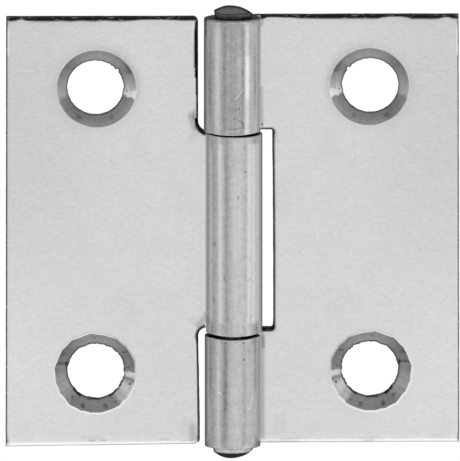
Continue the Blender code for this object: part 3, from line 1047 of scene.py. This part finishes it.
def notchShare(place):
    return pressedEdge["notchShare"]


def slitShare(place):
    widened = ease((place.y - pressedEdge["slitTopEnd"]) / pressedEdge["slitTopBlend"])
    return mix(pressedEdge["slitShare"], pressedEdge["slitTopShare"], widened)


def shapeRightEdges(bm):
    bottom, top = rightEnds
    flatShare = upperEdgeShare(1)
    rolledShare = knuckleEdgeShare("barrelTopShare")
    resizeEdge(bm, 0, leafReach, outerEdgeShare(rightEnds))
    resizeEdge(bm, 1, top, lambda place: (flatShare if place.x > bendStart else rolledShare)(place))
    resizeEdge(bm, 1, bottom, knuckleEdgeShare("barrelBottomShare"))
    for knuckleEnd in ("upperKnuckleEnd", "lowerKnuckleStart"):
        resizeEdge(bm, 1, cutOuts[knuckleEnd], knuckleEdgeShare("knuckleShare"))
    low = cutOuts["lowerKnuckleStart"] + cutOuts["rightStep"]
    resizeEdge(bm, 0, rightInner, innerEdgeShare(low, cutOuts["upperKnuckleEnd"], notchShare))


def shapeLeftEdges(bm):
    bottom, top = leftEnds
    resizeEdge(bm, 0, leafReach, outerEdgeShare(leftEnds))
    resizeEdge(bm, 1, top, upperEdgeShare(-1))
    for knuckleEnd in ("middleTop", "middleBottom"):
        resizeEdge(bm, 1, cutOuts[knuckleEnd], knuckleEdgeShare("knuckleShare"))
    stepped = cutOuts["middleBottom"] + cutOuts["leftStep"]
    above = (cutOuts["middleTop"] + cutOuts["leftUpperFillet"], top - cutOuts["leftCorner"])
    below = (bottom + cutOuts["leftCorner"], stepped - cutOuts["leftLowerFillet"])
    for low, high in (above, below):
        resizeEdge(bm, 0, leftInner, innerEdgeShare(low, high, slitShare))


# The press leaves its edge wavy; painted shade makes it dark and dull by the way it faces, and the lower
# one gets a painted highlight instead
def wearEdges(bm):
    edgeShadeLayer = bm.verts.layers.float.new("edgeSoil")
    shineLayer = bm.verts.layers.float.new("holeBurr")
    bm.normal_update()
    wearAndHighlight = {}
    for vert in bm.verts:
        facing = vert.normal.xy.copy()
        lean = facing.length
        if lean < edgeWear["flatLean"]:
            continue
        facing /= lean
        # Painted shade on the edge, by the way it faces
        below = vert.co.y < cutOuts["lowerKnuckleStart"]
        upwards, outwards = max(0, facing.y), max(0, facing.x)
        across = edgeWear["soilOuter" if facing.x > 0 else "soilInner"]
        lower = edgeWear["soilBottom" if below else "soilNotch"]
        along = edgeWear["soilTop"] if facing.y > 0 else lower
        edgeShadeShare = across * facing.x ** 2 + along * facing.y ** 2
        if vert.co.x < bendStart - edgeWear["knuckleStart"]:
            edgeShadeShare = edgeWear["soilKnuckle"]
        start = edgeWear["startLean"] + edgeWear["startLeanTop"] * upwards
        spread = edgeWear["spread"] + edgeWear["spreadTop"] * upwards
        spread += edgeWear["spreadOuter"] * outwards
        vert[edgeShadeLayer] = edgeShadeShare * ease((lean - start) / spread)
        # A painted highlight on the lower edge
        if below and vert.co.x > bendStart:
            shine = ease((lean - edgeWear["shineLean"]) / edgeWear["shineSpread"])
            vert[shineLayer] = edgeWear["lowerShine"] * shine * max(0, -facing.y) ** 2
        place = Vector((vert.co.x, vert.co.y, edgeWear["seed"] * mm)) / edgeWear["waveLength"]
        finer = noise.noise(place * edgeWear["finerWaves"])
        wearAndHighlight[vert] = (facing * lean, noise.noise(place) + edgeWear["finerHeight"] * finer)
    for vert, (facing, ripple) in wearAndHighlight.items():
        drop = sheet["thickness"] - vert.co.z
        if cutTolerance < drop < pressedEdge["depth"] + cutTolerance:
            lowered = edgeWear["waviness"] * (ripple + edgeWear["wavinessShift"])
            vert.co.z -= lowered * drop / pressedEdge["depth"]
        vert.co.xy += facing * edgeWear["outlineWave"] * (ripple + edgeWear["outlineShift"])


# What is given at falling places, from (place, value) pairs, and 0 outside them
def slantAt(stops, place):
    for (high, first), (low, last) in zip(stops, stops[1:]):
        if low <= place <= high:
            return mix(first, last, (high - place) / (high - low))
    return 0


def trimLeaf(bm, ends, inner, trim):
    for vert in bm.verts:
        past = vert.co.x - inner
        reach = leafTrim["slantOutside"] if past > 0 else leafTrim["slantInside"]
        vert.co.x += slantAt(trim["slant"], vert.co.y / mm) * mm * max(0, 1 - abs(past) / reach)
        upwards = (vert.co.y - ends[0]) / (ends[1] - ends[0])
        outwards = (vert.co.x - bendStart) / (leafReach - bendStart)
        atOuter = limit(1 - (leafReach - vert.co.x) / leafTrim["outerStart"])
        atLower = limit(1 - (vert.co.y - ends[0]) / leafTrim["lowerStart"])
        outer = mix(trim["outerBottom"], trim["outerTop"], upwards)
        lower = mix(trim["lowerInner"], trim["lowerOuter"], max(0, outwards))
        vert.co.x += outer * mm * atOuter
        vert.co.y += lower * mm * atLower * ease(1 + outwards / leafTrim["lowerFade"])


def bowKnuckles(bm, side):
    joints = (
        (knuckleBow["upper"], (cutOuts["upperKnuckleEnd"] + cutOuts["middleTop"]) / 2),
        (knuckleBow["lower"], (cutOuts["middleBottom"] + cutOuts["lowerKnuckleStart"]) / 2),
    )
    fullAngle = knuckleBow["fullAngle"]
    for vert in bm.verts:
        fromCrown = vert.co.x - knuckleCrown
        angle = fromCrown / curlMiddle
        turned = (1 - math.cos(min(abs(angle), fullAngle))) / (1 - math.cos(fullAngle))
        root = 1 - ease((angle - knuckleBow["rootAngle"]) / knuckleBow["rootBlend"])
        along = vert.co.y
        for bow, joint in joints:
            near = max(0, 1 - abs(along - joint) / knuckleBow["reach"])
            vert.co.y += bow * turned * root * near
        if side < 0:
            near = max(0, 1 - abs(along - cutOuts["middleTop"]) / knuckleBow["reach"])
            ownSide = ease((fromCrown - knuckleBow["raiseStart"]) / knuckleBow["raiseBlend"])
            vert.co.y += knuckleBow["raise"] * ownSide * root * near


# How each drill cut: the upper holes are smooth, and the lower ones chattered into flats. The shares
# "flatDepth" and "boreFlats" say how deep the flats are and how much of them reaches the bore, and the
# halo is the brightness of the painted highlight on the burr, with "haloTurn" added on the shaded side,
# where painted shade can also lie on the flat round the rim.
upperDrill = {
    "seed": 0.4,
    "boreShift": (-0.10 * mm, 0.045 * mm), "rimShift": (-0.20 * mm, 0.025 * mm),
    "boreOval": (0.975, 0.938), "rimOval": (0.967, 0.945),
    "flats": 9, "flatDepth": 0.06, "boreFlats": 0.0,
    "ragged": 0.03 * mm, "burr": 0.0, "chips": 0.09 * mm,
    "nickAngle": math.radians(142), "nick": 0.12 * mm,
    "halo": 0.0, "haloTurn": 0.25, "smear": -0.75, "smearAngle": math.radians(150),
}
lowerDrill = {
    "seed": 2.3,
    "boreShift": (-0.10 * mm, 0.10 * mm), "rimShift": (-0.04 * mm, 0.015 * mm),
    "boreOval": (0.972, 0.945), "rimOval": (0.974, 0.965),
    "flats": 16, "flatDepth": 1.2, "boreFlats": 0.55,
    "ragged": 0.075 * mm, "burr": 0.012 * mm, "chips": 0.12 * mm,
    "nickAngle": 0.0, "nick": 0.0,
    "halo": 1.0, "haloTurn": -2.0, "smear": 0.0, "smearAngle": math.radians(155),
}


def makeLeaf(name, side, ends, outline, inner, shapeEdges, trim, materials):
    bm = pressBlank(outline)
    middle = (ends[0] + ends[1]) / 2
    half = screwHole["square"] / 2
    fromAxis = screwHole["fromAxis"]
    centres = [Vector((fromAxis, middle + end * screwHole["spacing"] / 2, 0)) for end in (1, -1)]
    squares = sorted(centre.y + end * half for centre in centres for end in (-1, 1))
    across = [bendStart, fromAxis - half, fromAxis + half, leafReach]
    along = [ends[0], *squares, ends[1]]
    gridCut(bm, Vector((1, 0, 0)), steppedPlaces(across, sheet["gridStep"]))
    gridCut(bm, Vector((0, 1, 0)), steppedPlaces(along, sheet["gridStep"]))
    gridCut(bm, Vector((1, 0, 0)), [bendStart - run for run in rollStations()])
    shapeEdges(bm)
    wearEdges(bm)
    trimLeaf(bm, ends, inner, trim)
    bowKnuckles(bm, side)
    for centre, drill in zip(centres, (upperDrill, lowerDrill)):
        sinkHole(bm, centre, drill)
    bmesh.ops.recalc_face_normals(bm, faces=bm.faces)
    rollUp(bm, side, middle)
    return finishPiece(name, bm, materials, sheet["sharpAngle"])


leafMaterials = [plateMaterial(), shearedMaterial(), countersinkMaterial()]
rightLeaf = makeLeaf(
    "right_leaf_sheet", 1, rightEnds, rightOutline(), rightInner, shapeRightEdges, leafTrim["right"],
    leafMaterials,
)
leftLeaf = makeLeaf(
    "left_leaf_sheet", -1, leftEnds, leftOutline(), leftInner, shapeLeftEdges, leafTrim["left"],
    leafMaterials,
)
for leaf, node in ((rightLeaf, "right_leaf"), (leftLeaf, "left_leaf")):
    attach(leaf, node)
    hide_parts(node)
print("leaves rolled", len(rightLeaf.data.polygons), len(leftLeaf.data.polygons))


# Pin: drawn wire, riveted over at both ends
pinShape = {
    "shankRadius": 1.2 * mm,
    "headHeight": 0.93 * mm,
    "upperRim": 0.36 * mm,        # height of a head's side, under its dome
    "lowerRim": 0.28 * mm,
    "upperTaper": 0.1 * mm,       # how much narrower the upper head gets towards its seat
    "lowerFlare": 0.12 * mm,      # how much wider the lower head's side gets towards its seat
    "seatEdge": 0.04 * mm,
    "sides": 96,
    "domeSteps": 14,
    "hammering": 0.03 * mm,
    "blowSize": 0.9 * mm,
    "upperReach": 0.07 * mm,      # how far the heads stand past the straight pin's ends
    "lowerReach": 0.14 * mm,
    "reachBlend": 0.3 * mm,
    "upperLean": -0.09,           # how much higher a head is towards +X, per unit of length
    "lowerLean": -0.05,
}

# The wire's finish. The shares are what is left of its grey: low on the heads' sides and in a line round
# the edge of the upper dome, both painted shade, on the lower dome as painted shade, and twice the grey
# on the lower rim.
pinFinish = {
    "grey": (0.27, 0.37),
    "roughness": (0.55, 0.68),
    "mottle": ((2200, 2200, 2200), 3.0, 0.7),
    "relief": 0.012 * mm,
    "lowShare": 0.06,
    "lowHeights": (0.3 * mm, 1.0 * mm),
    "lineShare": 0.35,
    "lineWidth": (0.02 * mm, 0.08 * mm),
    "underEdge": 0.02 * mm,       # how far under the dome's edge both colours are measured from
    "lowerDomeShare": 0.08,
    "lowerRimShare": 2.0,
    "lowerBlend": (-0.03 * mm, 0.05 * mm),
}


def pinMaterial():
    material, tree, shader = newMaterial("zinc_plated_pin_wire")
    place = addNode(tree, "ShaderNodeTexCoord").outputs["Object"]
    mottle = grain(tree, place, *pinFinish["mottle"])
    _, y, z = splitPlace(tree, place)
    # Painted shade on the heads' sides below the given heights, in a line round the edge of the upper
    # dome and on the lower dome
    low, high = pinFinish["lowHeights"]
    side = remap(tree, z, axisHeight + low, axisHeight + high, pinFinish["lowShare"], 1.0)
    edge = pinEnd - pinShape["headHeight"] - pinFinish["underEdge"]
    upperEdge = edge + pinShape["upperRim"] + pinShape["upperReach"]
    lowerEdge = -edge - pinShape["lowerRim"] - pinShape["lowerReach"]
    fromEdge = calc(tree, "ABSOLUTE", calc(tree, "SUBTRACT", y, upperEdge))
    upper = remap(tree, fromEdge, *pinFinish["lineWidth"], pinFinish["lineShare"], 1.0)
    low, high = pinFinish["lowerBlend"]
    shares = (pinFinish["lowerDomeShare"], pinFinish["lowerRimShare"])
    lower = remap(tree, y, lowerEdge + low, lowerEdge + high, *shares)
    atTop = calc(tree, "GREATER_THAN", y, 0.0)
    side = calc(tree, "MULTIPLY", side, blend(tree, atTop, lower, upper))
    grey = calc(tree, "MULTIPLY", remap(tree, mottle, 0.3, 0.7, *pinFinish["grey"]), side)
    plug(tree, shader.inputs["Base Color"], greyColour(tree, grey))
    plug(tree, shader.inputs["Roughness"], remap(tree, mottle, 0.3, 0.7, *pinFinish["roughness"]))
    plug(tree, shader.inputs["Normal"], bump(tree, mottle, pinFinish["relief"]))
    return material


# Half the pin's section, as (radius, height) from under a head to the middle of its dome
def headProfile(rim, seatRadius):
    seat = pinEnd - pinShape["headHeight"]
    edge = pinShape["seatEdge"]
    rise = pinShape["headHeight"] - rim
    domeRadius = (headRadius ** 2 + rise ** 2) / (2 * rise)
    reach = math.asin(headRadius / domeRadius)
    profile = [(pinShape["shankRadius"], seat), (seatRadius - edge, seat), (seatRadius, seat + edge)]
    for i in range(pinShape["domeSteps"] + 1):
        angle = reach * (1 - i / pinShape["domeSteps"])
        profile.append((domeRadius * math.sin(angle), pinEnd - domeRadius * (1 - math.cos(angle))))
    return profile


def makePin(material):
    upper = headProfile(pinShape["upperRim"], headRadius - pinShape["upperTaper"])
    lower = headProfile(pinShape["lowerRim"], headRadius + pinShape["lowerFlare"])
    profile = [(radius, -height) for radius, height in reversed(lower)]
    profile += [(pinShape["shankRadius"], 0)] + upper
    bm = bmesh.new()
    verts = [bm.verts.new((radius, along, 0)) for radius, along in profile]
    edges = [bm.edges.new(pair) for pair in zip(verts, verts[1:])]
    bmesh.ops.spin(
        bm, geom=verts + edges, cent=(0, 0, 0), axis=(0, 1, 0), angle=2 * math.pi,
        steps=pinShape["sides"], use_merge=True,
    )
    bmesh.ops.remove_doubles(bm, verts=bm.verts, dist=mergeDistance)
    seat = pinEnd - pinShape["headHeight"]
    for vert in bm.verts:
        past = abs(vert.co.y) - seat
        if past > 0:
            end, side = ("upper", 1) if vert.co.y > 0 else ("lower", -1)
            blow = pinShape["hammering"] * (noise.noise(vert.co / pinShape["blowSize"]) + 0.5)
            moved = pinShape[end + "Reach"] + pinShape[end + "Lean"] * vert.co.x - blow
            vert.co.y += side * ease(past / pinShape["reachBlend"]) * moved
    bmesh.ops.recalc_face_normals(bm, faces=bm.faces)
    bmesh.ops.translate(bm, verts=bm.verts, vec=(0, 0, axisHeight))
    return finishPiece("riveted_pin", bm, [material])


pin = makePin(pinMaterial())
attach(pin, "right_leaf")
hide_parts("hinge_pin")
print("pin turned")


# Floor: plain and white, low enough for a leaf to swing down over it, and unseen by the steel
floorLook = {"drop": 0.5 * mm, "size": 3.0, "grey": 0.02, "glow": 1.0}


def makeFloor():
    material, tree, shader = newMaterial("white_floor")
    shader.inputs["Metallic"].default_value = 0.0
    shader.inputs["Base Color"].default_value = (*[floorLook["grey"]] * 3, 1)
    shader.inputs["Specular IOR Level"].default_value = 0.0
    shader.inputs["Emission Color"].default_value = (1, 1, 1, 1)
    shader.inputs["Emission Strength"].default_value = floorLook["glow"]
    bm = bmesh.new()
    bmesh.ops.create_grid(bm, x_segments=1, y_segments=1, size=floorLook["size"] / 2)
    bmesh.ops.translate(bm, verts=bm.verts, vec=(0, 0, axisHeight - leafReach - floorLook["drop"]))
    floor = finishPiece("floor", bm, [material])
    floor.visible_glossy = False
    floor.visible_diffuse = False
    floor.visible_shadow = False


makeFloor()


# Studio: a dome whose brightness is given by direction. "across" runs from one side over the top to the
# other, in degrees from straight up towards +X, and "along" from the near end (-Y) to the far end (+Y).
studio = {
    "across": [(-180, 0.3), (-110, 0.5), (-90, 0.62), (-74, 0.8), (-63, 1.2), (-52, 0.8), (-38, 0.6),
               (-20, 0.8), (0, 1.0), (25, 1.0), (45, 0.85), (62, 1.25), (76, 0.9), (90, 0.85),
               (110, 0.75), (180, 0.3)],
    "along": [(-90, 0.5), (-76, 0.75), (-62, 1.08), (-30, 1.1), (-16, 1.1), (-7.6, 1.0), (0, 0.85),
              (12, 0.55), (22, 0.32), (50, 0.32), (70, 0.36), (90, 0.42)],
    "ground": [(-1, 0.15), (-0.8, 0.2), (-0.5, 0.4), (-0.2, 0.6), (0, 0.65)],
    "horizon": 0.12,              # over this height the ground's light gives way to the dome's
    "level": 1.01,
}


def makeStudio():
    world = bpy.data.worlds.new("studio")
    bpy.context.scene.world = world
    world.use_nodes = True
    tree = world.node_tree
    background = tree.nodes["Background"]
    background.inputs["Color"].default_value = (1, 1, 1, 1)
    x, y, z = splitPlace(tree, addNode(tree, "ShaderNodeTexCoord").outputs["Generated"])
    across = calc(tree, "MULTIPLY", calc(tree, "ARCTAN2", x, z), 180 / math.pi)
    along = calc(tree, "MULTIPLY", calc(tree, "ARCSINE", y), 180 / math.pi)
    acrossLight = greyRamp(tree, across, -180, 180, studio["across"])
    alongLight = greyRamp(tree, along, -90, 90, studio["along"])
    atEnds = calc(tree, "MULTIPLY", y, y)
    acrossLight = blend(tree, atEnds, acrossLight, 1.0)
    dome = calc(tree, "MULTIPLY", acrossLight, alongLight)
    ground = greyRamp(tree, z, -1, 0, studio["ground"])
    above = remap(tree, z, -studio["horizon"], studio["horizon"], 0.0, 1.0)
    light = calc(tree, "MULTIPLY", blend(tree, above, ground, dome), studio["level"])
    seen = addNode(tree, "ShaderNodeLightPath").outputs["Is Camera Ray"]
    plug(tree, background.inputs["Strength"], blend(tree, seen, light, 1.0))


makeStudio()
bpy.context.scene.view_settings.view_transform = "Standard"

# Camera: the photograph's angle, from a little past the far end and the left side, with a long lens
photoView = {
    "target": Vector((-0.2645 * mm, -0.0910 * mm, 1.1 * mm)),
    "tilt": 0.1445,               # towards the far end, in radians
    "turn": -0.0140,              # towards the left leaf
    "distance": 1500 * mm,
    "pixelsPerMm": 11.375,        # at the target, in the 460 x 461 picture
    "longSide": 461,
    "clip": (0.01, 10),
}


def makeCamera():
    cameraData = bpy.data.cameras.new("camera")
    camera = bpy.data.objects.new("camera", cameraData)
    bpy.context.scene.collection.objects.link(camera)
    tilt, turn = photoView["tilt"], photoView["turn"]
    distance = photoView["distance"]
    back = Vector((math.sin(turn) * math.cos(tilt), math.sin(tilt), math.cos(turn) * math.cos(tilt)))
    right = Vector((0, 1, 0)).cross(back).normalized()
    turned = Matrix((right, back.cross(right), back)).transposed().to_4x4()
    camera.matrix_world = Matrix.Translation(photoView["target"] + back * distance) @ turned
    sensorPixel = cameraData.sensor_width / photoView["longSide"]
    cameraData.lens = photoView["pixelsPerMm"] * distance / mm * sensorPixel
    cameraData.clip_start, cameraData.clip_end = photoView["clip"]
    bpy.context.scene.camera = camera


makeCamera()
print("camera and studio placed")
